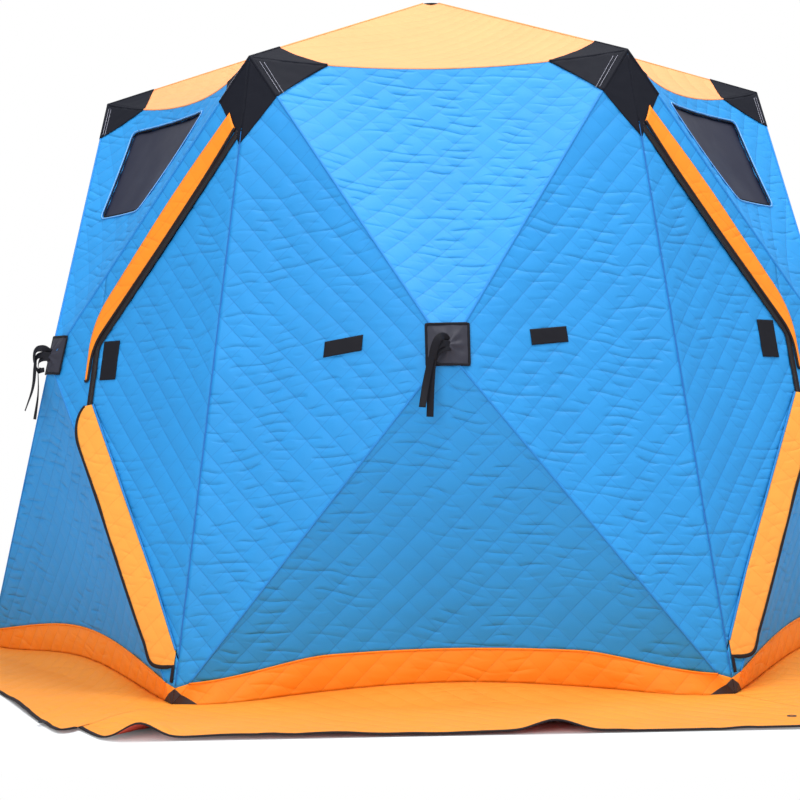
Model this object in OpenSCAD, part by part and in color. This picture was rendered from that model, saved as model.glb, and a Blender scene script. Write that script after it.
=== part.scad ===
// Six-sided ice fishing hut of quilted fabric over sprung poles.
// Millimetres, +Z up. The origin is on the ground under the roof hub, and the front wall faces -Y.
// A wall is drawn facing +X, with its corners 30 degrees to each side, and then turned into place.

/* [Overall] */
// Distance between opposite corners at the ground
base_diagonal = 2600; // [2200:10:3200]
// Distance between opposite corners at the shoulder
top_diagonal = 1860; // [1550:10:2250]
// Height of the shoulder corners
shoulder_h = 1550; // [1290:10:1860]
// Height of the roof's hub
peak_h = 1830; // [1760:10:2200]

/* [Walls] */
// Height of each wall's hub
hub_h = 810; // [675:5:980]
// How far a wall's hub stands out from the flat wall
hub_bulge = 210; // [150:5:260]
// Thickness of the quilted fabric
fabric_t = 5; // [4:0.5:6]
// How far the shoulder seam curves inward between corners
shoulder_recess = 45; // [0:5:80]
// How far the shoulder seam dips between corners
shoulder_dip = 45; // [0:5:80]
// How far the ground seam curves inward between corners
ground_recess = 50; // [0:5:100]
// Flat strips that follow each curved seam
strips = 4; // [2:2:6]
// Gap left between neighbouring panels
seam_gap = 0.4; // [0.3:0.1:1]

/* [Band and skirt] */
// Height of the coloured band at a corner
band_corner_h = 50; // [30:5:80]
// Height of the coloured band at mid wall
band_mid_h = 112; // [90:2:150]
// Width of the snow skirt beyond the ground seam's corners
skirt_w = 400; // [300:10:500]
// Thickness of the snow skirt
skirt_t = 4; // [3:0.5:5]
// Radius of a stake eyelet's hole
eyelet_r = 5.5; // [4:0.5:7]
// Distance of the stake eyelets from the hut's centre
eyelet_reach = 1630; // [1550:5:1700]
// Angle from a corner to its stake eyelet
eyelet_turn = 4; // [2:0.5:8]

/* [Doors] */
// Width of the fixed border under the upper flap
upper_border = 120; // [100:2:150]
// Width of the fixed border under the lower flap
lower_border = 60; // [50:2:75]
// Distance from the hinge seam to the door's tip
door_reach = 415; // [340:5:440]
// Clearance all round a door
door_gap = 5; // [5:1:10]
// How far the hinge bead is thicker than the fabric, each side
bead_proud = 0.5; // [0.3:0.1:1]
// Thickness of a storm flap
flap_t = 3; // [2:0.5:4]
// Width of the upper storm flap
upper_flap_w = 52; // [40:2:58]
// Width of the lower storm flap
lower_flap_w = 68; // [55:1:75]
// Length of the lower storm flap past the door's tip, along the pole
lower_flap_past = 110; // [60:5:130]
// Width of the sewn patch at a door's tip
door_patch_w = 62; // [40:2:80]
// Height of the sewn patch at a door's tip
door_patch_h = 100; // [80:5:120]

/* [Windows] */
// Half width of a window's top edge
window_top_half = 205; // [150:5:220]
// Half width of a window's bottom edge
window_bottom_half = 68; // [50:2:90]
// Height of a window's top edge
window_top_z = 1450; // [1400:5:1460]
// Height of a window's bottom edge
window_bottom_z = 1200; // [1150:5:1250]
// Sideways offset of a window, away from the front wall
window_shift = 40; // [0:5:60]
// Thickness of a window pane
pane_t = 2; // [1:0.5:3]

/* [Frame] */
// Radius of a sprung pole
pole_r = 5.5; // [4.5:0.5:7]
// Radius of a hub
hub_r = 38; // [32:1:45]
// Thickness of a hub
hub_t = 26; // [20:1:32]
// Radius of the stem through the fabric at a hub
stem_r = 12; // [8:1:16]
// Radius of the joint ball at a corner
ball_r = 14; // [11:1:17]

/* [Patches] */
// Length of a corner cap down its corner seam
cap_seam_l = 185; // [150:5:190]
// Length of a corner cap along a pole
cap_pole_l = 140; // [110:5:150]
// Length of a corner cap along the shoulder seam
cap_edge_l = 175; // [140:5:200]
// Thickness of a patch
patch_t = 2; // [1.5:0.5:3]
// Side of a hub patch
hub_patch_w = 104; // [90:2:130]
// Width of a side patch
side_patch_w = 100; // [80:5:120]
// Height of a side patch
side_patch_h = 38; // [30:2:50]
// Distance from a wall's hub to the middle of a side patch
side_patch_reach = 265; // [220:5:290]
// Length of a foot patch along the band
foot_patch_l = 90; // [60:5:110]
// Width of a pull strap
strap_w = 25; // [20:1:30]
// Length of a pull strap
strap_l = 150; // [120:5:180]
// Angle between a pull strap's tail and the vertical
strap_splay = 6; // [0:1:15]

/* [Hidden] */
$fn = 32;
walls = 6;
front_left = 0;
front = 1;
front_right = 2;
back_right = 3;
back = 4;
back_left = 5;
blue = "dodgerblue";
orange = "orange";
black = "dimgray";

half_turn = 180 / walls;
base_side = base_diagonal / 2;
top_side = top_diagonal / 2;
base_apothem = base_side * cos(half_turn);
top_apothem = top_side * cos(half_turn);
ground_z = skirt_t + seam_gap;
hub_x = base_apothem + (top_apothem - base_apothem) * hub_h / shoulder_h + hub_bulge;
hub = [hub_x, 0, hub_h];
// A wall leans back, and its hub and hub patch lean with it
wall_n = [shoulder_h, 0, base_apothem - top_apothem] / norm([shoulder_h, base_apothem - top_apothem]);
lean = atan2(wall_n.z, wall_n.x);
peak = [0, 0, peak_h];
side_bottom = [base_apothem, base_side / 2, ground_z];
side_top = [top_apothem, top_side / 2, shoulder_h];
// Panels stop this far from a hub's point, under its patch
tip_cut = 42;
corner_plane = [-sin(half_turn), cos(half_turn), 0];

// Geometry helpers
function unit(v) = v / norm(v);
function normal(a, b, c) = unit(cross(b - a, c - a));
function flip(v) = [v.x, -v.y, v.z];
function bow(j) = 1 - pow(2 * j / strips - 1, 2);
function shoulder(j) = [
    top_apothem - shoulder_recess * bow(j),
    top_side * (j / strips - 0.5),
    shoulder_h - shoulder_dip * bow(j)
];
function ground(j) = [
    base_apothem - ground_recess * bow(j),
    base_side * (j / strips - 0.5),
    ground_z
];
function band_h(j) = band_corner_h + (band_mid_h - band_corner_h) * bow(j);
// Edge inset that keeps two slabs of fabric clear of each other at an outward ridge
function ridge_inset(turn) = fabric_t * tan(turn / 2) + seam_gap / 2;
function turn_between(n, m) = acos(min(1, n * m));
function turn_at_corner(n) = 2 * asin(abs(n * corner_plane));

side_n = normal(side_bottom, side_top, hub);
top_n = normal(shoulder(strips), shoulder(strips - 1), hub);
bottom_n = normal(ground(strips - 1), ground(strips), hub);
roof_n = normal(shoulder(strips - 1), shoulder(strips), peak);
upper_pole_inset = ridge_inset(turn_between(side_n, top_n));
lower_pole_inset = ridge_inset(turn_between(side_n, bottom_n));
roof_pole_inset = ridge_inset(turn_at_corner(roof_n));
shoulder_inset = ridge_inset(max([
    for (j = [0 : strips - 1]) turn_between(
        normal(shoulder(j + 1), shoulder(j), hub),
        normal(shoulder(j), shoulder(j + 1), peak)
    )
])) + seam_gap / 4;

// The bead in a corner seam lies on the fabric's middle layer
bead_r = fabric_t / 2 + bead_proud;
bead_y = fabric_t / 2 * tan(turn_at_corner(side_n) / 2);
corner_inset = bead_y + bead_r + seam_gap;

// The triangle of a side panel in its own plane: x up the corner seam, y towards the hub
seam_l = norm(side_top - side_bottom);
apex_x = (hub - side_bottom) * unit(side_top - side_bottom);
apex_y = sqrt(pow(norm(hub - side_bottom), 2) - pow(apex_x, 2));
lower_pole_l = norm([apex_x, apex_y]);
upper_pole_l = norm([seam_l - apex_x, apex_y]);
panel_top_y = apex_y - tip_cut;
// x of a line that runs inside the lower or upper pole line by an inset
function lower_x(y, inset) = (apex_x * y + inset * lower_pole_l) / apex_y;
function upper_x(y, inset) = seam_l - ((seam_l - apex_x) * y + inset * upper_pole_l) / apex_y;
// Point at a distance along a pole line from the corner seam, and at an inset from that line
function by_lower_pole(along, inset) = [
    (apex_x * along + apex_y * inset) / lower_pole_l,
    (apex_y * along - apex_x * inset) / lower_pole_l
];
function by_upper_pole(along, inset) = [
    seam_l - ((seam_l - apex_x) * along + apex_y * inset) / upper_pole_l,
    (apex_y * along - (seam_l - apex_x) * inset) / upper_pole_l
];

door_start = lower_x(bead_y, lower_border);
door_end = upper_x(bead_y, upper_border);
tip_y = door_reach + door_gap;
patch_lift = seam_gap;
// Patches keep this far inside the lines they follow
patch_inset = 1;
// How far a cutting shape runs past the face it cuts
cut_past = 1;

// The band takes the lowest corner of a side panel
band_x = band_corner_h;
band_y = band_corner_h * apex_y / lower_pole_l;

// The upper flap is sewn to the border and covers the gap above the door
flap_end_gap = 4 * door_gap;
upper_flap_in = upper_border - door_gap - bead_proud;
upper_flap_out = upper_flap_in - upper_flap_w;
upper_flap_from = max(
    cap_pole_l + flap_end_gap,
    ((seam_l - apex_x) * upper_flap_in + (corner_inset + door_gap) * upper_pole_l) / apex_y
);
upper_flap_end = door_reach - door_gap;

// The lower flap is sewn to the door and covers the gap below it
flap_margin = 2;
lower_flap_out = door_gap + flap_margin;
lower_flap_in = lower_flap_out + lower_flap_w;
lower_flap_from = (lower_flap_in * apex_x + (corner_inset + door_gap) * lower_pole_l) / apex_y;
lower_flap_to = lower_pole_l * door_reach / apex_y + lower_flap_past;

// The square patch at a door's tip lies just inside the door's edges
door_patch_inset = upper_border + door_gap;
door_patch_y = door_reach - 4 * door_gap - door_patch_w;
door_patch_x = upper_x(door_patch_y + door_patch_w, door_patch_inset) - door_patch_h;

// Caps keep clear of the bead in the corner seam
cap_rim = 3 * bead_r;
// Where the top corner of a foot patch lies on the band
foot_patch_top = [0.4 * band_corner_h, 0.75 * band_corner_h];
strap_tail_w = 0.7 * strap_w;
// Slope of the line along which an upper joint ball is set in from its corner
top_ball_slope = -0.7;

// Placement helpers
module in_wall(k) rotate([0, 0, 2 * half_turn * k + 180 + half_turn]) children();
module each_wall() for (k = [0 : walls - 1]) in_wall(k) children();

// Puts the XY plane on the face through a, b and c, with x along a to b and z outward
module on_face(a, b, c) {
    x = unit(b - a);
    z = normal(a, b, c);
    y = cross(z, x);
    multmatrix([[x.x, y.x, z.x, a.x], [x.y, y.y, z.y, a.y], [x.z, y.z, z.z, a.z], [0, 0, 0, 1]]) children();
}

module on_side() on_face(side_bottom, side_top, hub) children();
module mirrored(flipped) if (flipped) mirror([0, 1, 0]) children(); else children();

module fabric(points) translate([0, 0, -fabric_t]) linear_extrude(fabric_t) polygon(points);
module on_top(points, t) translate([0, 0, patch_lift]) linear_extrude(t) polygon(points);

// A strip between the edge a-b and the point c. start and end are heights over that edge,
// each given at the a side and at the b side.
function strip_outline(a, b, c, insets, start, end) = let (
    along = unit(b - a),
    x = (c - a) * along,
    y = norm(c - a - x * along),
    l = norm(b - a),
    left = function(h) (x * h + insets[0] * norm([x, y])) / y,
    right = function(h) l - ((l - x) * h + insets[1] * norm([l - x, y])) / y
) [[left(start[0]), start[0]], [right(start[1]), start[1]], [right(end[1]), end[1]], [left(end[0]), end[0]]];
function height_over(a, b, c) = norm(cross(b - a, c - a)) / norm(b - a);
function cut_height(a, b, c) = height_over(a, b, c) - tip_cut;
function strip_insets(j, outer) = [j == 0 ? outer : seam_gap / 2, j == strips - 1 ? outer : seam_gap / 2];

module top_strip(j) {
    a = shoulder(j + 1);
    b = shoulder(j);
    insets = strip_insets(strips - 1 - j, upper_pole_inset);
    end = cut_height(a, b, hub);
    on_face(a, b, hub)
        fabric(strip_outline(a, b, hub, insets, [shoulder_inset, shoulder_inset], [end, end]));
}

// Height over the ground seam of the band's top edge, on the line from point j to the hub
function band_cut(j, edge) =
    band_h(j) / norm(hub - ground(j)) * height_over(ground(edge), ground(edge + 1), hub);

module bottom_strip(j) {
    a = ground(j);
    b = ground(j + 1);
    end = cut_height(a, b, hub);
    start = [band_cut(j, j) + seam_gap, band_cut(j + 1, j) + seam_gap];
    on_face(a, b, hub)
        fabric(strip_outline(a, b, hub, strip_insets(j, lower_pole_inset), start, [end, end]));
}

module band_strip(j) {
    a = ground(j);
    b = ground(j + 1);
    start = [j == 0 ? fabric_t : 0, j == strips - 1 ? fabric_t : 0];
    end = [band_cut(j, j), band_cut(j + 1, j)];
    on_face(a, b, hub) fabric(strip_outline(a, b, hub, strip_insets(j, lower_pole_inset), start, end));
}

module roof_strip(j) {
    a = shoulder(j);
    b = shoulder(j + 1);
    end = cut_height(a, b, peak);
    on_face(a, b, peak)
        fabric(strip_outline(
            a, b, peak, strip_insets(j, roof_pole_inset), [shoulder_inset, shoulder_inset], [end, end]
        ));
}

module side_band() on_side() fabric([
    [lower_x(corner_inset, lower_pole_inset), corner_inset],
    [band_x, corner_inset],
    [lower_x(band_y, lower_pole_inset), band_y]
]);

module closed_side() on_side() fabric([
    [band_x + seam_gap, corner_inset],
    [upper_x(corner_inset, upper_pole_inset), corner_inset],
    [upper_x(panel_top_y, upper_pole_inset), panel_top_y],
    [lower_x(panel_top_y, lower_pole_inset), panel_top_y],
    [lower_x(band_y + seam_gap, lower_pole_inset), band_y + seam_gap]
]);

// The fixed fabric round a door: a border under each flap, and the piece beside the hub
module door_surround() on_side() {
    low = lower_border - door_gap;
    high = upper_border - door_gap;
    fabric([
        [band_x + seam_gap, corner_inset],
        [lower_x(corner_inset, low), corner_inset],
        [lower_x(tip_y - seam_gap, low), tip_y - seam_gap],
        [lower_x(tip_y - seam_gap, lower_pole_inset), tip_y - seam_gap],
        [lower_x(band_y + seam_gap, lower_pole_inset), band_y + seam_gap]
    ]);
    fabric([
        [upper_x(corner_inset, high), corner_inset],
        [upper_x(corner_inset, upper_pole_inset), corner_inset],
        [upper_x(tip_y - seam_gap, upper_pole_inset), tip_y - seam_gap],
        [upper_x(tip_y - seam_gap, high), tip_y - seam_gap]
    ]);
    fabric([
        [lower_x(tip_y, lower_pole_inset), tip_y],
        [upper_x(tip_y, upper_pole_inset), tip_y],
        [upper_x(panel_top_y, upper_pole_inset), panel_top_y],
        [lower_x(panel_top_y, lower_pole_inset), panel_top_y]
    ]);
}

module top_panel() for (j = [0 : strips - 1]) top_strip(j);

// A wall without openings
module plain_wall(k) color(blue) in_wall(k) {
    top_panel();
    for (j = [0 : strips - 1]) bottom_strip(j);
    closed_side();
    mirrored(true) closed_side();
}

// The window's outline, drawn across the wall and pushed right through its top panel
module window_block(flipped, inset) mirrored(flipped) translate([top_apothem / 2, 0, 0]) rotate([90, 0, 90])
    linear_extrude(base_apothem) polygon([
        [-window_top_half - window_shift + inset, window_top_z - inset],
        [window_top_half - window_shift - inset, window_top_z - inset],
        [window_bottom_half - window_shift - inset, window_bottom_z + inset],
        [-window_bottom_half - window_shift + inset, window_bottom_z + inset]
    ]);

// A wall with a window in its top panel and a door in one side panel
module door_wall(k, flipped) color(blue) in_wall(k) {
    difference() {
        top_panel();
        window_block(flipped, 0);
    }
    for (j = [0 : strips - 1]) bottom_strip(j);
    mirrored(flipped) door_surround();
    mirrored(!flipped) closed_side();
}

module pane_strip(j) {
    a = shoulder(j + 1);
    b = shoulder(j);
    end = cut_height(a, b, hub);
    on_face(a, b, hub) translate([0, 0, -(fabric_t + pane_t) / 2]) linear_extrude(pane_t)
        polygon(strip_outline(
            a, b, hub, [seam_gap / 2, seam_gap / 2], [shoulder_inset, shoulder_inset], [end, end]
        ));
}

module window(k, flipped) color(black) in_wall(k) intersection() {
    for (j = [0 : strips - 1]) pane_strip(j);
    window_block(flipped, seam_gap);
}

// A door leaf turns on the round bead sewn into the corner seam
module door(k, flipped) color("deepskyblue") in_wall(k) mirrored(flipped) on_side() {
    fabric([
        [door_start, bead_y],
        [door_end, bead_y],
        [upper_x(door_reach, upper_border), door_reach],
        [lower_x(door_reach, lower_border), door_reach]
    ]);
    bead(door_start, door_end);
}

module bead(from, to) translate([from, bead_y, -fabric_t / 2]) rotate([0, 90, 0])
    cylinder(h = to - from, r = bead_r);

module upper_flap(k, flipped) color(orange) in_wall(k) mirrored(flipped) on_side() on_top([
    by_upper_pole(upper_flap_from, upper_flap_out),
    by_upper_pole(upper_flap_from, upper_flap_in),
    [upper_x(upper_flap_end, upper_flap_in), upper_flap_end],
    [upper_x(upper_flap_end, upper_flap_out), upper_flap_end]
], flap_t);

module lower_flap(k, flipped) color(orange) in_wall(k) mirrored(flipped) on_side() on_top([
    by_lower_pole(lower_flap_from, lower_flap_out),
    by_lower_pole(lower_flap_to, lower_flap_out),
    by_lower_pole(lower_flap_to, lower_flap_in),
    by_lower_pole(lower_flap_from, lower_flap_in)
], flap_t);

module door_patch(k, flipped) color(black) in_wall(k) mirrored(flipped) on_side() on_top([
    [door_patch_x, door_patch_y],
    [door_patch_x + door_patch_h, door_patch_y],
    [door_patch_x + door_patch_h, door_patch_y + door_patch_w],
    [door_patch_x, door_patch_y + door_patch_w]
], patch_t);

module base_band(k) color("darkorange") in_wall(k) {
    for (j = [0 : strips - 1]) band_strip(j);
    side_band();
    mirrored(true) side_band();
}

// A snow skirt lies flat, follows the ground seam inside and carries one stake eyelet
module skirt(k) color(orange) in_wall(k) {
    mitre = seam_gap / 2 / cos(half_turn);
    outer_x = base_apothem + skirt_w;
    outer_y = outer_x * tan(half_turn) - mitre;
    inner_y = (base_apothem - fabric_t) * tan(half_turn) - mitre;
    eyelet_a = half_turn - eyelet_turn;
    difference() {
        linear_extrude(skirt_t) polygon(concat(
            [for (j = [0 : strips]) [ground(j).x - fabric_t, inner_y * (2 * j / strips - 1)]],
            [[outer_x, outer_y], [outer_x, -outer_y]]
        ));
        translate([eyelet_reach * cos(eyelet_a), eyelet_reach * sin(eyelet_a), -cut_past])
            cylinder(h = skirt_t + 2 * cut_past, r = eyelet_r);
    }
}

module roof() color(orange) each_wall() for (j = [0 : strips - 1]) roof_strip(j);

// A pole lies inside a ridge, touching both faces
function pole_depth() = fabric_t + seam_gap + pole_r;
function inside_ridge(n, m) = -(n + m) / (1 + n * m) * pole_depth();

upper_pole_shift = inside_ridge(side_n, top_n);
lower_pole_shift = inside_ridge(side_n, bottom_n);
roof_other_n = roof_n - 2 * (roof_n * corner_plane) * corner_plane;
roof_pole_shift = inside_ridge(roof_n, roof_other_n);

// Distance from a point along a way in, so that a ball clears every face through that point
function way_in(dir, faces, clear) = max([for (n = faces) -clear / (n * dir)]);
corner_out = [cos(half_turn), sin(half_turn), 0];
top_ball_dir = unit([0, 0, top_ball_slope] - corner_out);
ball_clear = fabric_t + seam_gap + ball_r;
top_ball = side_top + top_ball_dir * way_in(top_ball_dir, [side_n, top_n, roof_n], ball_clear);
// The lower ball rests at ground level, so the way in starts from a raised corner
bottom_in = max([for (n = [side_n, bottom_n]) (ball_clear + n.z * ball_r) / (n * corner_out)]);
bottom_ball = side_bottom + [0, 0, ball_r] - bottom_in * corner_out;

// Depth under a hub's point at which its disc clears every face, and the fall of a face at its cut tip
function hub_drop(axis, faces) = max([
    for (n = faces) (fabric_t + seam_gap + hub_r * sqrt(1 - pow(n * axis, 2))) / (n * axis)
]);
function tip_fall(axis, faces) = min([for (n = faces) tip_cut * sqrt(1 - pow(n * axis, 2))]);
wall_faces = [side_n, top_n, bottom_n];
roof_axis = [0, 0, 1];
// Patches over the hubs lie just above the cut tips of the panels
patch_share = 0.55;
wall_patch_drop = patch_share * tip_fall(wall_n, wall_faces);
roof_patch_drop = patch_share * tip_fall(roof_axis, [roof_n]);

// A rod between two points, stopping short of each
module rod(a, b, short_a, short_b) {
    d = unit(b - a);
    l = norm(b - a) - short_a - short_b;
    start = a + d * short_a;
    translate(start) rotate([0, acos(d.z), atan2(d.y, d.x)]) cylinder(h = l, r = pole_r);
}

pole_end = ball_r + seam_gap;
// The part of a vector that is square to a hub's axis
function across(v, axis) = v - (v * axis) * axis;
// Distance along d, from a point shifted off the hub's axis, at which a pole's end clears the hub's rim
function rim_distance(shift, d, axis) = let (
    q = across(shift, axis),
    e = across(d, axis),
    r = hub_r + seam_gap + pole_r * abs(d * axis)
) (sqrt(pow(q * e, 2) - (e * e) * (q * q - r * r)) - q * e) / (e * e);

module pole(corner, ball, point, shift, axis) {
    // Nearest point to the ball on the pole's own line
    d = unit(point - corner);
    start = corner + shift + d * ((ball - corner - shift) * d);
    rod(start, point + shift, pole_end, rim_distance(shift, -d, axis));
}

module wall_poles(k) color("lightgray") in_wall(k) for (flipped = [false, true]) mirrored(flipped) {
    pole(side_top, top_ball, hub, upper_pole_shift, wall_n);
    pole(side_bottom, bottom_ball, hub, lower_pole_shift, wall_n);
}

module roof_poles() color("lightgray") each_wall() pole(side_top, top_ball, peak, roof_pole_shift, roof_axis);

// A hub's disc under the fabric, with a stem up through it to the patch. Z is the hub's axis,
// and the origin is the point where the faces would meet.
module hub_body(drop, patch_drop) {
    translate([0, 0, -drop - hub_t]) cylinder(h = hub_t, r = hub_r);
    translate([0, 0, -drop - cut_past])
        cylinder(h = drop + cut_past - patch_drop - seam_gap, r = stem_r);
}

module at_hub() translate(hub) rotate([0, 90 - lean, 0]) children();

module wall_hubs() color(black) each_wall() at_hub() hub_body(hub_drop(wall_n, wall_faces), wall_patch_drop);

module roof_hub() color(black) translate(peak) hub_body(hub_drop(roof_axis, [roof_n]), roof_patch_drop);

module corner_joints() color(black) each_wall() {
    translate(top_ball) sphere(ball_r);
    translate(bottom_ball) sphere(ball_r);
}

// Beads sewn into the six corner seams, leaving room for those of the doors
module corner_seams() color("royalblue") for (k = [0 : walls - 1]) in_wall(k) on_side() {
    end_gap = 2 * fabric_t;
    if (k == front_left || k == front) {
        bead(end_gap, door_start - door_gap);
        bead(door_end + door_gap, seam_l - end_gap);
    } else {
        bead(end_gap, seam_l - end_gap);
    }
}

// Cap pieces on the side panel, the top panel and the roof, on one side of a corner
module cap_pieces() {
    on_side() on_top([
        [seam_l - cap_seam_l, cap_rim],
        by_upper_pole(cap_rim * upper_pole_l / apex_y, patch_inset),
        by_upper_pole(cap_pole_l, patch_inset)
    ], patch_t);
    on_face(side_top, shoulder(strips - 1), hub) on_top(cap_corner(shoulder(strips - 1), hub), patch_t);
    mirror([0, 1, 0]) on_face(flip(side_top), flip(shoulder(strips - 1)), peak)
        on_top(cap_corner(shoulder(strips - 1), peak), patch_t);
}

// A triangle that starts at the corner and reaches along the seam and along the pole
function cap_corner(next, point) = let (
    along = unit(next - side_top),
    x = (point - side_top) * along,
    y = norm(point - side_top - x * along),
    d = norm([x, y])
) [
    [fabric_t, patch_inset],
    [cap_edge_l, patch_inset],
    [x * cap_pole_l / d + patch_inset, y * cap_pole_l / d]
];

module corner_caps() color(black) each_wall() for (flipped = [false, true]) mirrored(flipped) cap_pieces();

module hub_patches() color(black) each_wall() at_hub() translate([0, 0, -wall_patch_drop])
    linear_extrude(patch_t) square(hub_patch_w, center = true);

module roof_patch() color(black) translate(peak - [0, 0, roof_patch_drop])
    linear_extrude(patch_t) circle(hub_patch_w / 2, $fn = walls);

// One patch each side of a hub, left out where a door has its own
module side_patch() on_side() {
    y = apex_y - side_patch_reach;
    on_top([
        [apex_x, y - side_patch_w / 2],
        [apex_x + side_patch_h, y - side_patch_w / 2],
        [apex_x + side_patch_h, y + side_patch_w / 2],
        [apex_x, y + side_patch_w / 2]
    ], patch_t);
}

module side_patches() color(black) for (k = [0 : walls - 1]) in_wall(k) {
    if (k != front_left) side_patch();
    if (k != front_right) mirrored(true) side_patch();
}

module foot_patches() color(black) each_wall() for (flipped = [false, true]) mirrored(flipped)
    on_face(ground(strips - 1), ground(strips), hub) {
        l = norm(ground(strips) - ground(strips - 1));
        on_top([
            [l - foot_patch_l, patch_inset],
            [l - patch_inset, patch_inset],
            [l - foot_patch_top.x, foot_patch_top.y]
        ], patch_t);
    }

// Two tails of webbing hang in front of each hub patch, from its middle
module pull_straps() color(black) each_wall() {
    face_x = hub.x - (wall_patch_drop - patch_t) * cos(lean) + hub_patch_w / 2 * sin(lean) + seam_gap;
    for (tail = [-1, 1]) translate([face_x, tail * strap_w / 2, hub_h]) rotate([tail * strap_splay, 0, 0])
        translate([0, -strap_tail_w / 2, -strap_l]) cube([patch_t, strap_tail_w, strap_l]);
}

plain_wall(front);  // front_wall
door_wall(front_left, false);  // front_left_wall
door_wall(front_right, true);  // front_right_wall
plain_wall(back);  // back_wall
plain_wall(back_left);  // back_left_wall
plain_wall(back_right);  // back_right_wall
window(front_left, false);  // left_window
window(front_right, true);  // right_window
door(front_left, false);  // left_door
door(front_right, true);  // right_door
upper_flap(front_left, false);  // left_door_upper_flap
upper_flap(front_right, true);  // right_door_upper_flap
lower_flap(front_left, false);  // left_door_lower_flap
lower_flap(front_right, true);  // right_door_lower_flap
door_patch(front_left, false);  // left_door_patch
door_patch(front_right, true);  // right_door_patch
base_band(front);  // front_base_band
base_band(front_left);  // front_left_base_band
base_band(front_right);  // front_right_base_band
base_band(back);  // back_base_band
base_band(back_left);  // back_left_base_band
base_band(back_right);  // back_right_base_band
skirt(front);  // front_skirt
skirt(front_left);  // front_left_skirt
skirt(front_right);  // front_right_skirt
skirt(back);  // back_skirt
skirt(back_left);  // back_left_skirt
skirt(back_right);  // back_right_skirt
roof();
corner_seams();
corner_caps();
hub_patches();
roof_patch();
side_patches();
foot_patches();
pull_straps();
wall_poles(front);  // front_poles
wall_poles(front_left);  // front_left_poles
wall_poles(front_right);  // front_right_poles
wall_poles(back);  // back_poles
wall_poles(back_left);  // back_left_poles
wall_poles(back_right);  // back_right_poles
roof_poles();
wall_hubs();
roof_hub();
corner_joints();
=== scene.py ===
import bpy
import bmesh
from math import atan2, copysign, cos, exp, hypot, log, pi, radians, sin, sqrt, tan
from mathutils import Matrix, Vector, noise


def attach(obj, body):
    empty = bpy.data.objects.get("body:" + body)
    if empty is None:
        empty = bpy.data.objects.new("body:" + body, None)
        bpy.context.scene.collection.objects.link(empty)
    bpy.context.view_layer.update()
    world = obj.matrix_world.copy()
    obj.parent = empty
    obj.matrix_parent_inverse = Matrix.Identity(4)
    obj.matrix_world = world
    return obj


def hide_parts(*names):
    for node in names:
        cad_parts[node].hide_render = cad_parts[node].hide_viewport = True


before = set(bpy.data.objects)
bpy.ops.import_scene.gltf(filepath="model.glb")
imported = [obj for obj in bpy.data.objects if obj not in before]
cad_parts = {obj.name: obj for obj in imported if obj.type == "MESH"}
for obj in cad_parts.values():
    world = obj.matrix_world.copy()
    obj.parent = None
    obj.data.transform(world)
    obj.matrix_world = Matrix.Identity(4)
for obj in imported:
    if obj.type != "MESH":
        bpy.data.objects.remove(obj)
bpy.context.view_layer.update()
scene = bpy.context.scene

# Camera at standing-stool height in front of the hut
view = {"place": (-0.12556, -5.74627, 0.74780), "yaw": -0.11455, "pitch": -0.51645, "roll": -1.05909}
cameraData = bpy.data.cameras.new("camera")
cameraData.sensor_width = 36
cameraData.lens = 90.033
cameraData.shift_x = 0.00254
cameraData.shift_y = -0.00372
camera = bpy.data.objects.new("camera", cameraData)
scene.collection.objects.link(camera)
camera.matrix_world = (
    Matrix.Translation(view["place"])
    @ Matrix.Rotation(radians(view["yaw"]), 4, "Z")
    @ Matrix.Rotation(radians(90 + view["pitch"]), 4, "X")
    @ Matrix.Rotation(radians(view["roll"]), 4, "Z")
)
scene.camera = camera

# Sizes shared by every panel, in metres
hut = {
    "baseSide": 1.3, "topSide": 0.93, "shoulderZ": 1.55, "peakZ": 1.83, "groundZ": 0.0044, "hubZ": 0.81,
    "hubBulge": 0.21, "shoulderRecess": 0.045, "groundRecess": 0.035, "creaseRise": 0.034,
    "frontFlare": 0.026, "bandSeam": 0.038, "bandCorner": 0.062, "bandMiddle": 0.112, "tipCut": 0.022,
    "shoulderDips": (0.055, 0.030, 0.055, 0.045, 0.045, 0.045),
}
spacing = 0.0095
clothThick = 0.0018
wallNames = ["front_left", "front", "front_right", "back_right", "back", "back_left"]

baseApothem = hut["baseSide"] * cos(radians(30))
topApothem = hut["topSide"] * cos(radians(30))
hubX = baseApothem + (topApothem - baseApothem) * hut["hubZ"] / hut["shoulderZ"] + hut["hubBulge"]
hub = Vector((hubX, 0, hut["hubZ"]))
peak = Vector((0, 0, hut["peakZ"]))
upward = Vector((0, 0, 1))


def turned(k):
    return Matrix.Rotation(radians(60 * k + 210), 4, "Z")


def mirrored(point, hand):
    return Vector((point.x, point.y * hand, point.z))


def points(*pairs):
    return [Vector(pair) for pair in pairs]


def spun(radius, turn, z=0.0):
    return Vector((radius * cos(turn), radius * sin(turn), z))


def shoulderOf(dip):
    def shoulder(s):
        bow = 1 - s * s
        return Vector((
            topApothem - hut["shoulderRecess"] * bow, s * hut["topSide"] / 2, hut["shoulderZ"] - dip * bow,
        ))

    return shoulder


def ground(s):
    return Vector((baseApothem - hut["groundRecess"] * (1 - s * s), s * hut["baseSide"] / 2, hut["groundZ"]))


def swirl(*place):
    return noise.noise(Vector(place))


def smooth(x):
    x = max(0.0, min(1.0, x))
    return x * x * (3 - 2 * x)


# Quilting of the insulated cloth: stitched lines both ways, puffed diamonds and small puckers between
quilt = {
    "pitch": 0.0485, "depth": 0.0022, "pucker": 0.0014, "gather": 0.0009, "drift": 0.012, "driftScale": 2.6,
    "fade": 0.03, "gatherReach": 0.018, "sink": 0.0006,
}


def drift(a, b):
    shift, scale = quilt["drift"], quilt["driftScale"]
    return (
        a + shift * swirl(a * scale, b * scale, 31.0),
        b + shift * swirl(a * scale, b * scale, 47.0),
    )


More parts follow.
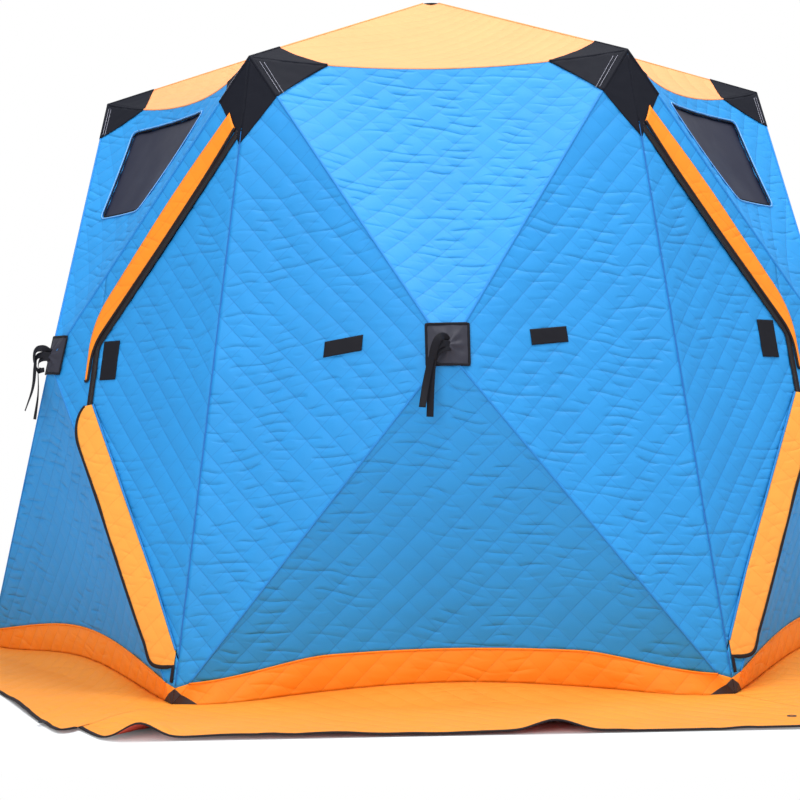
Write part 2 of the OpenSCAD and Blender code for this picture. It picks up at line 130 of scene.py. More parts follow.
def relief(a, b, edge, seed, depth=1.0):
    fade = smooth(edge / quilt["fade"])
    q, r = (abs(sin(pi * both / (1.4142 * quilt["pitch"]))) for both in (a - b, a + b))
    puff = sqrt(q * (0.35 + 0.65 * r))
    patchy = smooth(0.55 + 1.4 * swirl(a * 2.1, b * 2.1, seed + 9.5))
    pucker = swirl(a * 16, b * 60, seed) * (0.3 + 0.7 * puff)
    gather = swirl(a * 40, b * 40, seed + 4) * exp(-edge / quilt["gatherReach"])
    cloth = quilt["depth"] * (puff - 1) + quilt["pucker"] * pucker * patchy
    return depth * (fade * cloth + quilt["gather"] * gather) - quilt["sink"]


# A facet is the ruled surface from a curved edge to a tip
def facetFrame(edge, tip, outward, sag, seed):
    normal = (edge(1) - edge(-1)).cross(tip - edge(-1)).normalized()
    if normal.dot(outward) < 0:
        normal = -normal
    across = upward.cross(normal).normalized()
    return {
        "edge": edge, "tip": tip, "normal": normal, "across": across, "up": normal.cross(across), "sag": sag,
        "seed": seed, "height": (tip - edge(0)).length, "half": (edge(1) - edge(-1)).length / 2,
    }


def facetPoint(facet, s, v, lift=0.0):
    start = facet["edge"](s)
    run = facet["edge"](s + 0.01) - facet["edge"](s - 0.01)
    normal = run.cross(facet["tip"] - start).normalized()
    if normal.dot(facet["normal"]) < 0:
        normal = -normal
    flat = start.lerp(facet["tip"], v)
    bubble = 6.75 * (1 - v) * (1 - v) * (1 - s * s) * v
    return flat + normal * (lift - facet["sag"] * bubble), normal


# The shortest way from a spot to a seam
def facetEdge(facet, s, v):
    return min(v * facet["height"], (1 - abs(s)) * (1 - v) * facet["half"])


def facetCloth(facet, point):
    off = point - facet["tip"]
    return drift(off.dot(facet["across"]), off.dot(facet["up"]))


bottom = facetFrame(ground, hub, Vector((1, 0, -1)), 0.014, 2.7)
tops, roofTops = {}, {}
for k, dip in enumerate(hut["shoulderDips"]):
    tops[k] = facetFrame(shoulderOf(dip), hub, Vector((1, 0, 1)), 0.012, 1.3 + k)
    roofTops[k] = facetFrame(shoulderOf(dip), peak, upward, 0.012, 5.1 + k)

# The side panel in its own plane: x up the corner seam, y towards the hub
sideBottom = ground(1)
sideTop = tops[0]["edge"](1)
sideX = (sideTop - sideBottom).normalized()
seamLength = (sideTop - sideBottom).length
apexX = (hub - sideBottom).dot(sideX)
apexY = sqrt((hub - sideBottom).length_squared - apexX * apexX)
sideY = (hub - sideBottom - sideX * apexX) / apexY
sideNormal = sideX.cross(sideY)
lowerLength = hypot(apexX, apexY)
upperLength = hypot(seamLength - apexX, apexY)
sideAcross = upward.cross(sideNormal).normalized()
sideUp = sideNormal.cross(sideAcross)


def lowerX(y, inset):
    return (apexX * y + inset * lowerLength) / apexY


def upperX(y, inset):
    return seamLength - ((seamLength - apexX) * y + inset * upperLength) / apexY


def byLowerPole(along, inset):
    return Vector((
        (apexX * along + apexY * inset) / lowerLength,
        (apexY * along - apexX * inset) / lowerLength,
    ))


def byUpperPole(along, inset):
    return Vector((
        seamLength - ((seamLength - apexX) * along + apexY * inset) / upperLength,
        (apexY * along - (seamLength - apexX) * inset) / upperLength,
    ))


def sidePoint(x, y, lift=0.0, hand=1):
    nearHub = y / apexY
    nearTop = (x - apexX * nearHub) / seamLength
    bubble = max(0.0, 27 * nearHub * nearTop * (1 - nearHub - nearTop))
    return mirrored(sideBottom + sideX * x + sideY * y + sideNormal * (lift - 0.009 * bubble), hand)


def sideOut(hand):
    return mirrored(sideNormal, hand)


def sideEdge(x, y):
    return min(
        y,
        (apexY * x - apexX * y) / lowerLength,
        (apexY * (seamLength - x) - (seamLength - apexX) * y) / upperLength,
    )


def sideCloth(x, y):
    off = sideX * x + sideY * y - (hub - sideBottom)
    return drift(off.dot(sideAcross), off.dot(sideUp))


# Shapes are grids laid over a surface, which gives each point and its place on the flat cloth
def layGrid(bm, columns, rows, surface, outward=None, weld=0.0):
    cloth = bm.verts.layers.float_vector.get("cloth") or bm.verts.layers.float_vector.new("cloth")
    made = bmesh.ops.create_grid(bm, x_segments=columns, y_segments=rows, size=1)["verts"]
    for vert in made:
        vert.co, vert[cloth] = surface((vert.co.x + 1) / 2, (vert.co.y + 1) / 2)
    if weld:
        bmesh.ops.remove_doubles(bm, verts=made, dist=weld)
        made = [vert for vert in made if vert.is_valid]
    if outward is not None:
        faceOutward(bm, made, outward)
    return made


def faceOutward(bm, verts, outward):
    faces = {face for vert in verts for face in vert.link_faces}
    total = Vector()
    for face in faces:
        face.normal_update()
        total += face.normal * face.calc_area()
    if total.dot(outward) < 0:
        bmesh.ops.reverse_faces(bm, faces=list(faces))


def segments(length):
    return max(2, round(length / spacing))


def fromEdge(s):
    return 0.0005


# Quilted cloth of a facet, from a share of its height up to where its tip is cut off
def layFacet(bm, facet, startAt, tipCut):
    end = 1 - tipCut / facet["height"]

    def surface(u, w):
        s = 2 * u - 1
        start = startAt(s)
        v = start + (end - start) * w
        flat, normal = facetPoint(facet, s, v)
        a, b = facetCloth(facet, flat)
        edge = min(facetEdge(facet, s, v), (v - start) * facet["height"] + 0.004)
        return flat + normal * relief(a, b, edge, facet["seed"]), (a, b, edge)

    columns, rows = segments(2 * facet["half"]), segments((end - startAt(0)) * facet["height"])
    return layGrid(bm, columns, rows, surface, facet["normal"])


# Quilted cloth of a side panel between two lines: turn is -1 where the stitching leans the other way
def laySide(bm, startX, endX, y0, y1, hand=1, turn=1, dip=0.0):
    def surface(u, w):
        y = y0 + (y1 - y0) * w
        x = startX(y) + (endX(y) - startX(y)) * u
        a, b = sideCloth(x, y)
        a *= turn
        edge = sideEdge(x, y)
        low = dip * (1 - smooth((y - y0) / 0.004))
        return sidePoint(x, y, relief(a, b, edge, 3.9) - low, hand), (a, b, edge)

    wide = max(endX(y) - startX(y) for y in (y0, (y0 + y1) / 2, y1))
    layGrid(bm, segments(wide), segments(y1 - y0), surface, sideOut(hand))


def resample(path, count):
    lengths = [0.0]
    for a, b in zip(path, path[1:]):
        lengths.append(lengths[-1] + (b - a).length)
    points, i = [], 0
    for k in range(count + 1):
        at = lengths[-1] * k / count
        while i < len(path) - 2 and lengths[i + 1] < at:
            i += 1
        share = (at - lengths[i]) / max(1e-9, lengths[i + 1] - lengths[i])
        points.append(path[i].lerp(path[i + 1], max(0.0, min(1.0, share))))
    return points


def rounded(points, radius, steps=6):
    path = [points[0]]
    for before, here, after in zip(points, points[1:], points[2:]):
        reach = min(radius, (before - here).length / 2, (after - here).length / 2)
        a = here + (before - here).normalized() * reach
        b = here + (after - here).normalized() * reach
        for k in range(steps + 1):
            t = k / steps
            path.append(a.lerp(here, t).lerp(here.lerp(b, t), t))
    path.append(points[-1])
    return path


squareness = 0.75


# A tape or tube along a path, with a section between an oval and an oblong
def sweep(bm, path, normals, halfWidth, halfHeight, around=8):
    if isinstance(normals, Vector):
        normals = [normals] * len(path)
    count = len(path) - 1
    step = (path[1] - path[0]).length

    def surface(u, w):
        at = w * count
        i = min(int(at), count - 1)
        normal = normals[i].lerp(normals[i + 1], at - i).normalized()
        tangent = (path[i + 1] - path[max(i - 1, 0)]).normalized()
        c, s = cos(2 * pi * u), sin(2 * pi * u)
        x = copysign(abs(c) ** squareness, c) * halfWidth
        y = copysign(abs(s) ** squareness, s) * halfHeight
        point = path[i].lerp(path[i + 1], at - i) + normal.cross(tangent).normalized() * x + normal * y
        return point, (u * 2 * (halfWidth + halfHeight), at * step, 0.1)

    verts = layGrid(bm, around, count, surface, weld=1e-6)
    rim = {e for v in verts for e in v.link_edges if e.is_boundary}
    bmesh.ops.holes_fill(bm, edges=list(rim), sides=0)
    faces = {f for v in verts for f in v.link_faces}
    bmesh.ops.recalc_face_normals(bm, faces=list(faces))
    return verts


# Thread stitches are short bars laid end to end along a path
stitches = {"pitch": 0.0045, "length": 0.0036, "thick": 0.0009, "lift": 0.0006}


def stitch(bm, path, normals):
    total = sum((b - a).length for a, b in zip(path, path[1:]))
    count = max(1, round(total / stitches["pitch"]))
    places, ups = resample(path, count), resample(normals, count)
    size = Matrix.Diagonal((stitches["length"], stitches["thick"], stitches["thick"], 1))
    for start, end, up in zip(places, places[1:], ups):
        tangent = (end - start).normalized()
        sideways = up.cross(tangent).normalized()
        up = tangent.cross(sideways)
        middle = (start + end) / 2 + up * stitches["lift"]
        turn = Matrix((tangent, sideways, up)).transposed().to_4x4()
        bmesh.ops.create_cube(bm, size=1, matrix=Matrix.Translation(middle) @ turn @ size)


def newPiece(name, bm, material, body="shelter", nodes=(), thick=0.0, back=None):
    mesh = bpy.data.meshes.new(name)
    bm.to_mesh(mesh)
    bm.free()
    mesh.shade_smooth()
    mesh.materials.append(material)
    piece = bpy.data.objects.new(name, mesh)
    scene.collection.objects.link(piece)
    if thick:
        layer = piece.modifiers.new("thickness", "SOLIDIFY")
        layer.thickness = thick
        layer.offset = -1
        if back:
            mesh.materials.append(back)
            layer.material_offset = 1
            layer.material_offset_rim = 0
    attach(piece, body)
    if nodes:
        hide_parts(*nodes)
    return piece


# Cloth that stands for a node of the frame, and a sheet of it on wall k with the area that it was cut to
def newCloth(node, bm, material, body="shelter", thick=0.0016, back=None):
    return newPiece(node + "_cloth", bm, material, body, [node], thick, back)


def newSheet(node, bm, k, material, body="shelter", thick=clothThick, back=None):
    area = areaOf(bm)
    placeWall(bm, k)
    return newCloth(node, bm, material, body, thick, back or lining), area


# A bead, tape or binding along a path on wall k: section is its half width and half height
def newTrim(name, k, path, normals, section, material, body="shelter", around=8):
    bm = bmesh.new()
    sweep(bm, path, normals, *section, around)
    placeWall(bm, k)
    return newPiece(name, bm, material, body)


def areaOf(bm):
    return sum(face.calc_area() for face in bm.faces)


def placeWall(bm, k, verts=None):
    bmesh.ops.transform(bm, matrix=turned(k), verts=verts or bm.verts)


# Shared shading effects
def newGroup(name, place, outputs, **numbers):
    group = bpy.data.node_groups.new(name, "ShaderNodeTree")
    group.interface.new_socket(place, in_out="INPUT", socket_type="NodeSocketVector")
    for title, value in numbers.items():
        group.interface.new_socket(title, in_out="INPUT", socket_type="NodeSocketFloat").default_value = value
    for title in outputs:
        group.interface.new_socket(title, in_out="OUTPUT", socket_type="NodeSocketFloat")
    return group, group.nodes.new("NodeGroupInput"), group.nodes.new("NodeGroupOutput")


# Links are given by a socket's title, or by i and its number
def addNode(tree, kind, settings=None, **links):
    node = tree.nodes.new("ShaderNode" + kind)
    for key, value in (settings or {}).items():
        setattr(node, key, value)
    for key, value in links.items():
        key = int(key[1:]) if key[1:].isdigit() else key
        if isinstance(value, bpy.types.NodeSocket):
            tree.links.new(value, node.inputs[key])
        else:
            node.inputs[key].default_value = value
    return node


def calc(tree, operation, a, b=0.0, c=0.0):
    return addNode(tree, "Math", {"operation": operation}, i0=a, i1=b, i2=c).outputs[0]


def makeQuiltGroup():
    group, start, end = newGroup("quiltLines", "Cloth", ("Line", "Puff"), Pitch=quilt["pitch"])
    split = addNode(group, "SeparateXYZ", Vector=start.outputs["Cloth"])
    scale = calc(group, "DIVIDE", pi / 1.4142, start.outputs["Pitch"])
    waves = []
    for operation in ("SUBTRACT", "ADD"):
        both = calc(group, operation, split.outputs[0], split.outputs[1])
        waves.append(calc(group, "ABSOLUTE", calc(group, "SINE", calc(group, "MULTIPLY", both, scale))))
    nearest = calc(group, "MINIMUM", waves[0], calc(group, "ADD", waves[1], 0.03))
    softly = {"interpolation_type": "SMOOTHSTEP"}
    line = addNode(group, "MapRange", softly, i0=nearest, i1=0.0, i2=0.13, i3=1.0, i4=0.0)
    group.links.new(line.outputs[0], end.inputs["Line"])
    softer = calc(group, "MULTIPLY_ADD", waves[1], 0.65, 0.35)
    group.links.new(calc(group, "SQRT", calc(group, "MULTIPLY", waves[0], softer)), end.inputs["Puff"])
    return group


def makeWeaveGroup():
    group, start, end = newGroup("clothWeave", "Place", ("Height", "Shade"), Thread=900.0)
    place, thread = start.outputs["Place"], start.outputs["Thread"]

    def cloud(scale, detail, roughness):
        made = addNode(group, "TexNoise", Vector=place, Scale=scale, Detail=detail, Roughness=roughness)
        return made.outputs["Fac"]

    fine = calc(group, "MULTIPLY", cloud(thread, 2.0, 0.6), 0.25)
    group.links.new(calc(group, "ADD", fine, cloud(38.0, 4.0, 0.62)), end.inputs["Height"])
    group.links.new(cloud(5.0, 3.0, 0.55), end.inputs["Shade"])
    return group


# Short valleys across the cloth, in patches and broken up along their length
def makeCrinkleGroup():
    crinkle = {"pitch": 0.025, "lean": 0.13, "wander": 0.055, "sharp": 1.5}
    group, start, end = newGroup("clothCrinkles", "Cloth", ("Height",))
    cloth = start.outputs["Cloth"]
    split = addNode(group, "SeparateXYZ", Vector=cloth)

    def patches(stretch, low, high):
        spread = addNode(group, "VectorMath", {"operation": "MULTIPLY"}, i0=cloth, i1=stretch)
        clouds = addNode(group, "TexNoise", Vector=spread.outputs[0], Scale=1.0, Detail=1.0)
        return addNode(group, "MapRange", i0=clouds.outputs["Fac"], i1=low, i2=high).outputs[0]

    wander = addNode(group, "TexNoise", Vector=cloth, Scale=5.0, Detail=1.0).outputs["Fac"]
    level = calc(group, "MULTIPLY_ADD", split.outputs[0], crinkle["lean"], split.outputs[1])
    sway = calc(group, "MULTIPLY_ADD", wander, crinkle["wander"], level)
    turns = calc(group, "MULTIPLY", sway, pi / crinkle["pitch"])
    wave = calc(group, "ABSOLUTE", calc(group, "SINE", turns))
    valley = calc(group, "POWER", calc(group, "SUBTRACT", 1.0, wave), crinkle["sharp"])
    for stretch, low, high in (((13.0, 25.0, 0.0), 0.45, 0.60), ((2.6, 2.6, 0.0), 0.33, 0.52)):
        valley = calc(group, "MULTIPLY", valley, patches(stretch, low, high))
    group.links.new(calc(group, "MULTIPLY", valley, -1.0), end.inputs["Height"])
    return group


quiltGroup = makeQuiltGroup()
crinkleGroup = makeCrinkleGroup()
weaveGroup = makeWeaveGroup()


def linear(*levels):
    return tuple(((c / 255 + 0.055) / 1.055) ** 2.4 if c > 10 else c / 255 / 12.92 for c in levels) + (1.0,)


def newMaterial(name, rough, specular):
    material = bpy.data.materials.new(name)
    material.use_nodes = True
    tree = material.node_tree
    shader = tree.nodes["Principled BSDF"]
    shader.inputs["Roughness"].default_value = rough
    shader.inputs["Specular IOR Level"].default_value = specular
    return material, tree, shader, addNode(tree, "TexCoord").outputs["Object"]


# Woven cloth in faint tints, with stitch lines, puffs and crinkles where it has a stitch colour
def clothMaterial(name, colour, rough=0.6, stitched=None, lined=0.0, crinkled=0.0, bump=0.25, specular=0.35):
    material, tree, shader, place = newMaterial(name, rough, specular)
    colour = linear(*colour)
    weave = addNode(tree, "Group", {"node_tree": weaveGroup}, Place=place)
    tint = addNode(tree, "MapRange", i0=weave.outputs["Shade"], i1=0.3, i2=0.7, i3=0.0, i4=1.0).outputs[0]
    darker = tuple(c * 0.93 for c in colour[:3]) + (1.0,)
    mixing = {"data_type": "RGBA"}
    shade = addNode(tree, "Mix", mixing, i0=tint, i6=darker, i7=colour).outputs[2]
    bumps = addNode(tree, "Bump", Strength=bump, Distance=0.0012, Height=weave.outputs["Height"])
    if stitched:
        cloth = addNode(tree, "Attribute", {"attribute_name": "cloth"}).outputs["Vector"]
        lines = addNode(tree, "Group", {"node_tree": quiltGroup}, Cloth=cloth)
        line = calc(tree, "MULTIPLY", lines.outputs["Line"], lined)
        shade = addNode(tree, "Mix", mixing, i0=line, i6=shade, i7=linear(*stitched)).outputs[2]
        puff = {"Height": lines.outputs["Puff"], "Normal": bumps.outputs["Normal"]}
        bumps = addNode(tree, "Bump", Strength=0.5, Distance=0.003, **puff)
        crinkles = addNode(tree, "Group", {"node_tree": crinkleGroup}, Cloth=cloth)
        folds = {"Height": crinkles.outputs["Height"], "Normal": bumps.outputs["Normal"]}
        bumps = addNode(tree, "Bump", Strength=crinkled, Distance=0.0034, **folds)
    tree.links.new(shade, shader.inputs["Base Color"])
    tree.links.new(bumps.outputs["Normal"], shader.inputs["Normal"])
    return material


def plainMaterial(name, colour, rough, scale=60.0, bump=0.1, specular=0.5):
    material, tree, shader, place = newMaterial(name, rough, specular)
    wear = addNode(tree, "TexNoise", Vector=place, Scale=scale, Detail=3.0, Roughness=0.6).outputs["Fac"]
    rougher = addNode(tree, "MapRange", i0=wear, i1=0.3, i2=0.7, i3=rough * 0.85, i4=rough * 1.15)
    tree.links.new(rougher.outputs[0], shader.inputs["Roughness"])
    bumps = addNode(tree, "Bump", Strength=bump, Distance=0.001, Height=wear)
    tree.links.new(bumps.outputs["Normal"], shader.inputs["Normal"])
    shader.inputs["Base Color"].default_value = linear(*colour)
    return material


blueCloth = clothMaterial("blueCloth", (36, 143, 213), 0.6, (22, 102, 172), 0.45, 0.95)
bluePlain = clothMaterial("bluePlain", (32, 130, 204))
seamBlue = clothMaterial("seamBlue", (26, 108, 184))
orangeCloth = clothMaterial("orangeCloth", (252, 141, 24), 0.6, (206, 104, 14), 0.3, 0.5)
# The skirt cloth is the pale orange made darker: painted shade that offsets the strong front light on the
# skirts
skirtClothShaded = clothMaterial("skirtClothShaded", (248, 153, 45), 0.6, (216, 118, 26), 0.12, 0.3)
paleOrange = clothMaterial("paleOrange", (250, 164, 64), 0.6, (216, 124, 40), 0.3, 0.5)
roofCloth = clothMaterial("roofCloth", (248, 162, 106), 0.6, (222, 130, 76), 0.15, 0.4)
blackCloth = clothMaterial("blackCloth", (18, 20, 30), 0.7, bump=0.4, specular=0.15)
patchCloth = clothMaterial("patchCloth", (46, 46, 58), bump=0.4)
bindingTape = clothMaterial("bindingTape", (34, 26, 28), 0.7, bump=0.5, specular=0.2)
skirtLining = clothMaterial("skirtLining", (226, 92, 70))
footCloth = clothMaterial("footCloth", (52, 34, 32), bump=0.5)
webbing = clothMaterial("webbing", (18, 18, 26), 0.65, bump=0.6, specular=0.2)
lining = clothMaterial("lining", (120, 136, 156))
thread = plainMaterial("thread", (168, 168, 182), 0.6)
palePiping = plainMaterial("palePiping", (116, 176, 232), 0.6)
film = plainMaterial("film", (31, 33, 52), 0.4, scale=9.0, bump=0.25, specular=0.25)
zipCoil = plainMaterial("zipCoil", (22, 22, 26), 0.4)
rodFinish = plainMaterial("rodFinish", (60, 62, 66), 0.4)
hubPlastic = plainMaterial("hubPlastic", (30, 30, 32), 0.5)
print("materials ready")


# Walls: quilted panels sewn along the pole lines, on the poles' outside
bandTop = {"x": hut["bandSeam"], "y": hut["bandCorner"] * apexY / lowerLength}
door = {
    "lower": 0.06, "upper": 0.12, "reach": 0.415, "gap": 0.005, "edge": 0.0034, "ease": 0.0006, "hem": 0.003,
    "topCut": 1.36, "topCutSlope": 6, "edgeDip": 0.0018,
}
doorWalls = {"left": (0, 1), "right": (2, -1)}
doorHands = dict(doorWalls.values())
tipY = door["reach"] + door["gap"]
panelEnd = apexY - hut["tipCut"]


def bandShare(s, k):
    level = 1 - smooth((abs(s) - 0.5) / 0.5) if k == 1 else 1 - s * s
    rise = hut["bandCorner"] + (hut["bandMiddle"] - hut["bandCorner"]) * level
    return rise / (hub - ground(s)).length


def sideStart(y):
    if y < bandTop["y"]:
        return bandTop["x"] + (lowerX(bandTop["y"], 0) - bandTop["x"]) * y / bandTop["y"]
    return lowerX(y, 0)


def layWallPanels(bm, k):
    layFacet(bm, bottom, lambda s: bandShare(s, k), hut["tipCut"])
    for hand in (1, -1):
        if hand != doorHands.get(k):
            laySide(bm, sideStart, lambda y: upperX(y, 0), 0.0005, panelEnd, hand)
            continue
        low, high = door["lower"] - door["hem"], door["upper"] - door["hem"]
        laySide(bm, sideStart, lambda y: lowerX(y, low), 0.0005, tipY, hand, -1)
        laySide(bm, lambda y: upperX(y, high), lambda y: upperX(y, 0), 0.0005, tipY, hand, -1)
        laySide(bm, lambda y: lowerX(y, 0), lambda y: upperX(y, 0), tipY, panelEnd, hand, -1)


# Window outlines on a top panel, as distances across and heights
windowCorners = points((0.142, 1.456), (-0.262, 1.445), (-0.172, 1.197), (0.008, 1.206))


def windowOutline(hand):
    return [Vector((corner.x * hand, corner.y)) for corner in windowCorners]


def topAt(facet, y, z):
    low, high = -1.0, 1.0
    for _ in range(30):
        s = (low + high) / 2
        edge = facet["edge"](s)
        if edge.y * (z - hub.z) < y * (edge.z - hub.z):
            low = s
        else:
            high = s
    return s, 1 - (z - hub.z) / (facet["edge"](s).z - hub.z)


def topPoint(facet, y, z, lift):
    aimY, aimZ = y, z
    for _ in range(3):
        flat, normal = facetPoint(facet, *topAt(facet, aimY, aimZ))
        aimY, aimZ = aimY + y - flat.y, aimZ + z - flat.z
    return flat + normal * lift, normal


# Cuts a convex opening: axes are the two directions that its outline is drawn in
def cutOpening(bm, outline, axes, reach, inset=0.0):
    middle = sum(outline, Vector((0, 0))) / len(outline)

    def place(face):
        centre = face.calc_center_median()
        return Vector([centre[axis] for axis in axes])

    def solid(pair):
        vector = Vector()
        for axis, value in zip(axes, pair):
            vector[axis] = value
        return vector

    def nearby():
        return [f for f in bm.faces if (place(f) - middle).length < reach]

    sides = []
    for start, end in zip(outline, outline[1:] + outline[:1]):
        run = (end - start).normalized()
        out = Vector((run.y, -run.x))
        if out.dot(start - middle) < 0:
            out = -out
        sides.append((start - out * inset, out))
    for corner, out in sides:
        near = nearby()
        geometry = list({*near, *(e for f in near for e in f.edges), *(v for f in near for v in f.verts)})
        bmesh.ops.bisect_plane(bm, geom=geometry, dist=1e-6, plane_co=solid(corner), plane_no=solid(out))
    inside = [f for f in nearby() if all((place(f) - corner).dot(out) < 0 for corner, out in sides)]
    bmesh.ops.delete(bm, geom=inside, context="FACES")


def makeWall(k):
    bm = bmesh.new()
    layFacet(bm, tops[k], fromEdge, hut["tipCut"])
    if k in doorHands:
        cutOpening(bm, windowOutline(doorHands[k]), (1, 2), 0.3, 0.004)
    layWallPanels(bm, k)
    return newSheet(wallNames[k] + "_wall", bm, k, blueCloth)


wallPieces = {k: makeWall(k) for k in range(6)}
print("walls ready")


# Roof: six quilted facets that meet over the roof hub
def makeRoof():
    bm = bmesh.new()
    for k in range(6):
        placeWall(bm, k, layFacet(bm, roofTops[k], fromEdge, 0.042))
    area = areaOf(bm)
    return newCloth("roof", bm, roofCloth, thick=clothThick, back=lining), area


roofPiece, roofArea = makeRoof()
print("roof ready")


# Coloured band round the foot of each wall, with a soft crease where the skirt starts
bandShape = {"tall": 0.11, "belly": 0.004, "depth": 0.8, "inset": 0.0004, "sink": 0.0006}


def crease(s, k):
    flare = hut["frontFlare"] * (k == 1) * smooth((abs(s) - 0.5) / 0.3) * smooth((1 - abs(s)) / 0.14)
    return ground(s) + Vector((flare, 0, hut["creaseRise"] * (1 - s * s) ** 2.5))


def makeBand(k):
    bm = bmesh.new()

    def surface(u, w):
        s = 2 * u - 1
        upper, normal = facetPoint(bottom, s, bandShare(s, k))
        low = crease(s, k)
        point = low.lerp(upper, w)
        belly = 4 * w * (1 - w) * bandShape["belly"] * (1 - s * s)
        a, b = facetCloth(bottom, point)
        edge = min(w, 1 - w) * (upper - low).length + 0.004
        return point + normal * (belly + relief(a, b, edge, 7.7, bandShape["depth"])), (a, b, edge)

    layGrid(bm, segments(hut["baseSide"]), max(6, segments(bandShape["tall"])), surface, bottom["normal"])
    for hand in (1, -1):
        def corner(u, w, hand=hand):
            y = bandShape["inset"] + (bandTop["y"] - bandShape["inset"]) * w
            x = lowerX(y, 0) + (sideStart(y) - lowerX(y, 0)) * u
            a, b = sideCloth(x, y)
            return sidePoint(x, y, -bandShape["sink"], hand), (a, b, 0.01)

        layGrid(bm, 5, 5, corner, sideOut(hand))
    bmesh.ops.remove_doubles(bm, verts=bm.verts, dist=1e-5)
    return newSheet(wallNames[k] + "_base_band", bm, k, orangeCloth)


# Snow skirt: lies out on the ground with some slack, and its outer edge kicks up in a few waves
skirt = {
    "corner": 0.055, "lift": 0.0014, "thick": 0.0014, "eyelet": (1.63, 26.0), "hole": 0.0055,
    "binding": (0.0055, 0.0021),
    "reach": (0.345, 0.443, 0.365, 0.4, 0.4, 0.4), "waist": (0.09, 0.0, 0.07, 0.015, 0.015, 0.015),
    "waves": {
        0: [(0.45, 0.05, 0.012)],
        1: [(0.126, 0.026, 0.032), (0.61, 0.032, 0.022), (0.34, 0.08, 0.006)],
        2: [(0.30, 0.06, 0.016), (0.8, 0.05, 0.014)],
        3: [(0.35, 0.06, 0.02)], 4: [(0.55, 0.05, 0.022)], 5: [(0.25, 0.05, 0.02), (0.75, 0.06, 0.014)],
    },
}


def skirtOuter(k):
    own = skirt["reach"][k]
    outX = baseApothem + own
    slope = tan(radians(30))
    ends = []
    for hand in (-1, 1):
        near = min(own, skirt["reach"][(k + hand) % 6])
        inX = baseApothem + near - skirt["corner"]
        bendY = outX * slope - 0.0005 - 1.7 * (own - near)
        ends += points((inX, (inX * slope - 0.0005) * hand, 0), (outX, bendY * hand, 0))
    return rounded([ends[0], ends[1], ends[3], ends[2]], skirt["corner"], 10)


def skirtPoint(u, w, outer, k):
    seed = 11.3 + 2.1 * k
    low = crease(2 * u - 1, k)
    at = u * (len(outer) - 1)
    i = min(int(at), len(outer) - 2)
    far = outer[i].lerp(outer[i + 1], at - i)
    far.x -= skirt["waist"][k] * (4 * u * (1 - u)) ** 2
    point = low.lerp(far, w)
    drop = 1 - smooth(w / 0.3)
    wave = swirl(point.x * 3.1, point.y * 4.3, seed)
    ripple = swirl(point.x * 5, point.y * 13, seed + 3)
    slack = smooth(w * 2.2) * (0.012 * max(0.0, wave + 0.14) + 0.005 * max(0.0, ripple) * w)
    side = smooth(min(u, 1 - u) / 0.02)
    for middle, half, height in skirt["waves"][k]:
        slack += height * exp(-(((u - middle) / half) ** 2)) * smooth((w - 0.55) / 0.45) * side
    base = skirt["lift"] + 0.0026
    point.z = base + (low.z - base) * drop + slack
    return point


def makeSkirt(k):
    bm = bmesh.new()
    count = segments(1.4)
    outer = resample(skirtOuter(k), count)

    def surface(u, w):
        point = skirtPoint(u, w, outer, k)
        a, b = drift(point.y, point.x)
        edge = min(w, 1 - w) * 0.4 + 0.004
        point.z += 0.6 * relief(a, b, edge, 11.3 + k) + 0.0016
        return point, (a, b, edge)

    layGrid(bm, count, segments(0.4), surface, upward)
    area = areaOf(bm)
    radius, angle = skirt["eyelet"]
    spot = spun(radius, radians(angle)).xy
    ring = [spot + spun(skirt["hole"], pi * i / 6).xy for i in range(12)]
    cutOpening(bm, ring, (0, 1), 0.04)
    height = min((v.co for v in bm.verts), key=lambda co: (co.xy - spot).length).z
    name = wallNames[k] + "_skirt"
    piece, _ = newSheet(name, bm, k, skirtClothShaded, thick=skirt["thick"], back=skirtLining)
    outline = resample(skirtOuter(k), 2 * count)
    start = 0 if k in (1, 4) else 3
    path = [skirtPoint(u / 2 / count, 1, outline, k) for u in range(start, 2 * count + 1 - start)]
    newTrim(name + "_binding", k, resample(path, segments(1.6)), upward, skirt["binding"], bindingTape)
    return piece, area, turned(k) @ Vector((*spot, height))


bandPieces, skirtPieces = {}, {}
for k in range(6):
    bandPieces[k] = makeBand(k)
    skirtPieces[k] = makeSkirt(k)
print("bands and skirts ready")


# A pressed ring round each stake eyelet
def makeGrommets():
    bm = bmesh.new()
    ring = {"radius": 0.0082, "width": 0.0027, "height": 0.0012, "around": 40, "section": 10}

    for _, _, spot in skirtPieces.values():
        def surface(u, w):
            angle = 2 * pi * w
            radius = ring["radius"] + ring["width"] * cos(angle)
            return spot + spun(radius, 2 * pi * u, ring["height"] * sin(angle)), (u, w, 0.1)

        layGrid(bm, ring["around"], ring["section"], surface, weld=1e-6)
    bmesh.ops.recalc_face_normals(bm, faces=bm.faces)
    newPiece("stake_eyelet_rings", bm, hubPlastic)


makeGrommets()


# Trim on a door's side panel, along a line in the panel's own plane
def newSideTrim(name, side, line, lift, steps, section, material, body, slot="black_fabric", around=8):
    k, hand = doorWalls[side]
    path = resample([sidePoint(spot.x, spot.y, lift, hand) for spot in line], steps)
    return newTrim(name, k, path, sideOut(hand), section, material, body, around)


# Doors: the same cloth, hung on the corner seam, with the lower storm flap sewn on
flap = {
    "lift": 0.0035, "past": 0.842, "sewn": 0.082, "start": 0.175, "low": -0.016, "rise": 0.014,
    "endLong": 0.085, "endWide": 0.060, "half": (0.00384, 0.0022), "lowerHalf": (0.0048, 0.0022),
}


